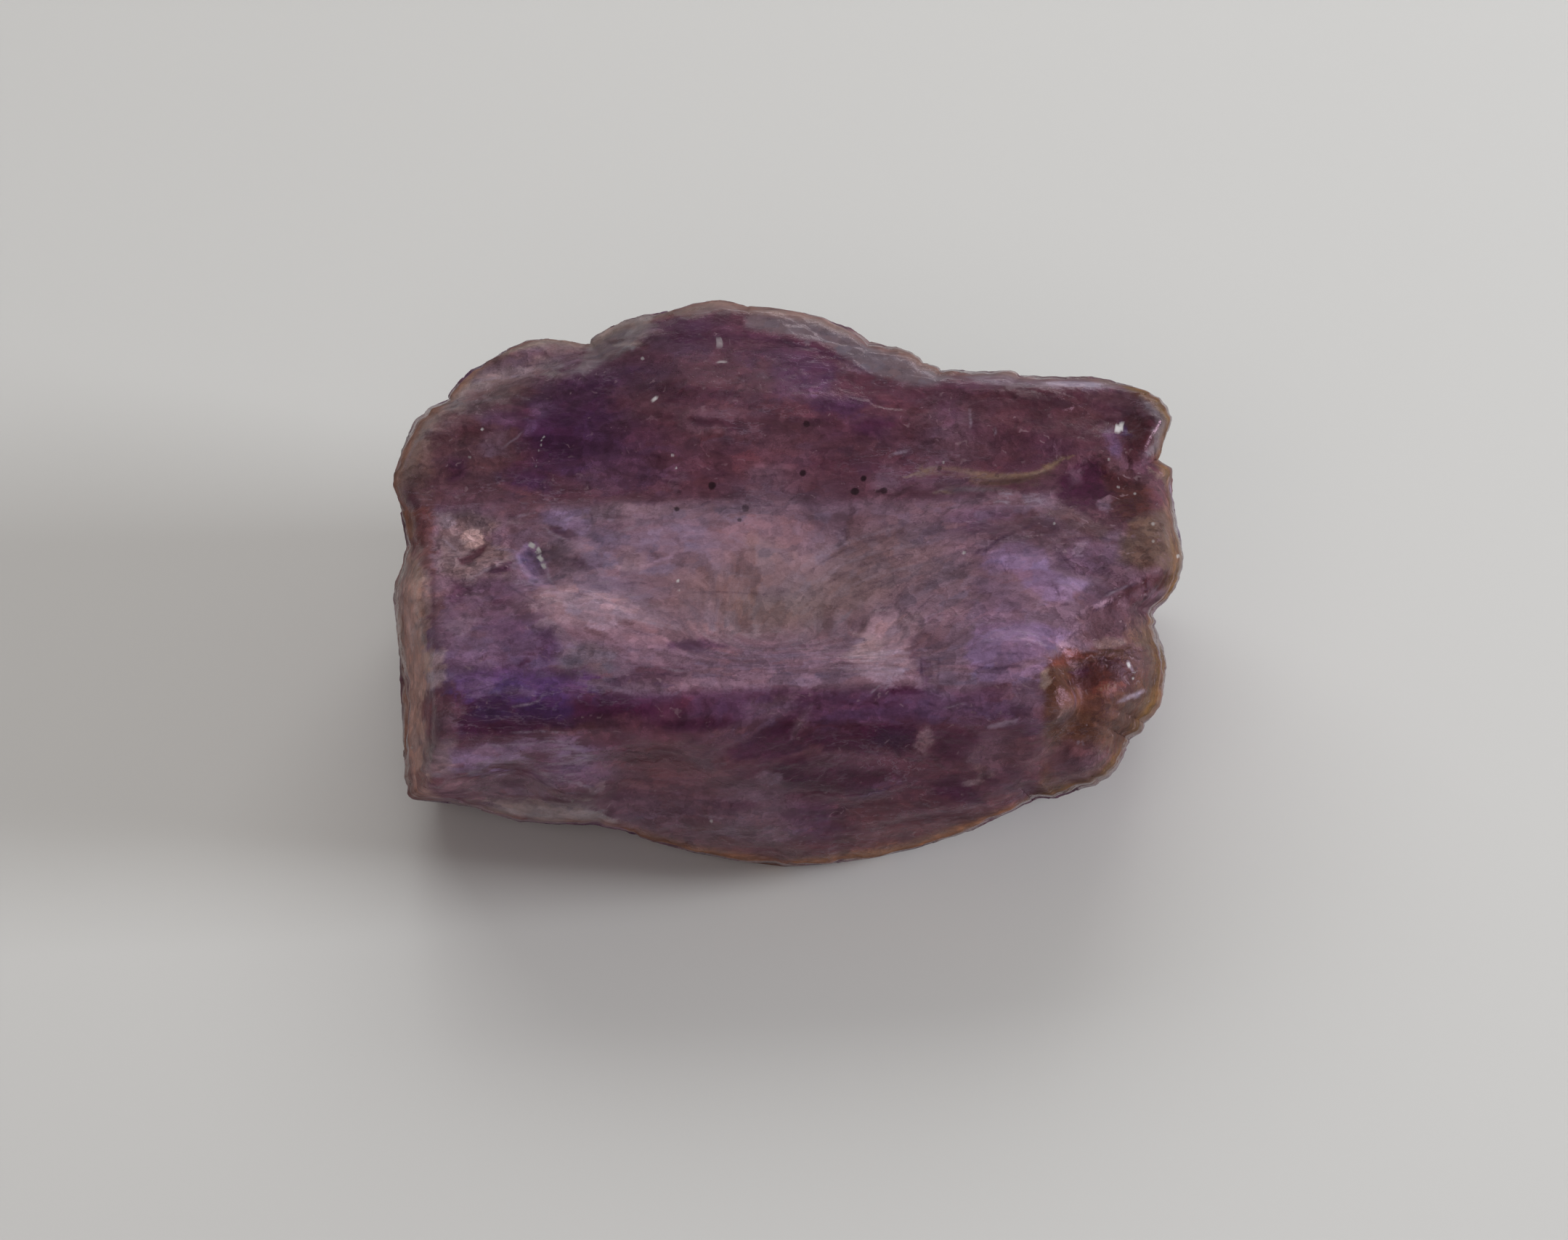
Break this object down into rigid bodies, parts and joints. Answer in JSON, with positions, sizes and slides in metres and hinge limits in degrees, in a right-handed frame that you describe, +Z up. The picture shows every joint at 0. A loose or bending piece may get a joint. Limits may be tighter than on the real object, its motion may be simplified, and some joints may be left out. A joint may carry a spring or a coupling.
{
  "type": "rough sapphire",
  "caption": "Rough, uncut violet sapphire crystal: a broken, water-worn block with a smooth clear window face and brown-stained rims, resting flat.",
  "frame": {"origin": "middle of the bounding box in plan, on the surface that the stone rests on", "axes": "+X along the crystal's length, towards the brown-stained lobed end; -Y is the front that the picture looks at; +Z up from the flat parting face"},
  "size_m": [0.014, 0.0096, 0.0066],
  "materials": {
    "sapphire": "translucent violet crystal, glossy on fresh breaks and satin on worn rims, with brown iron stain in the cracks and on the rims"
  },
  "bodies": {
    "root": {"sapphire_crystal": "sapphire"}
  },
  "joints": []
}
